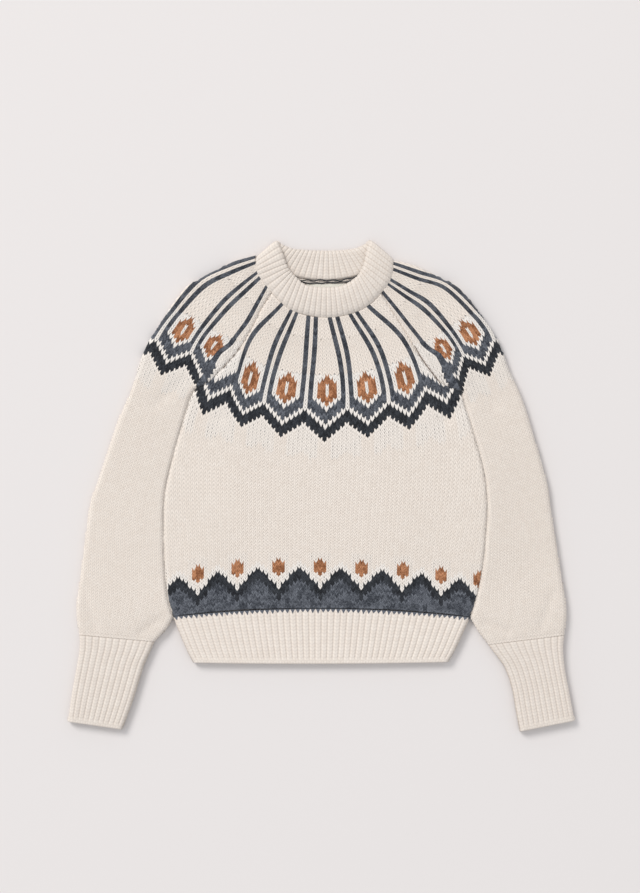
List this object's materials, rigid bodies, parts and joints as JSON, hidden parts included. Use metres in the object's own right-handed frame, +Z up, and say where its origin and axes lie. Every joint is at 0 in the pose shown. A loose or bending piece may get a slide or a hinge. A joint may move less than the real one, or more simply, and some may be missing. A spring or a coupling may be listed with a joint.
{
  "type": "knitted sweater laid flat",
  "caption": "Chunky cream sweater laid flat, with a patterned round yoke and hem band, raglan sleeves, ribbed cuffs and hem, and a folded ribbed neckband.",
  "frame": {"origin": "middle of the garment's box, on the surface it lies on", "axes": "+X across the garment to the right as seen from above, +Y towards the neck, +Z up through the layers from the back to the front"},
  "size_m": [0.736, 0.7126, 0.0197],
  "materials": {
    "patterned_knit": "chunky wool stocking stitch, cream with navy, blue-grey and rust stranded pattern",
    "ribbed_knit": "cream chunky wool, one by one rib",
    "label_tape": "bare woven tape"
  },
  "bodies": {
    "root": {"front": "patterned_knit", "back": "patterned_knit", "sleeve_left": "patterned_knit", "sleeve_right": "patterned_knit", "hem_rib_front": "ribbed_knit", "hem_rib_back": "ribbed_knit", "cuff_left": "ribbed_knit", "cuff_right": "ribbed_knit", "neckband": "ribbed_knit", "neck_label": "label_tape"}
  },
  "joints": []
}
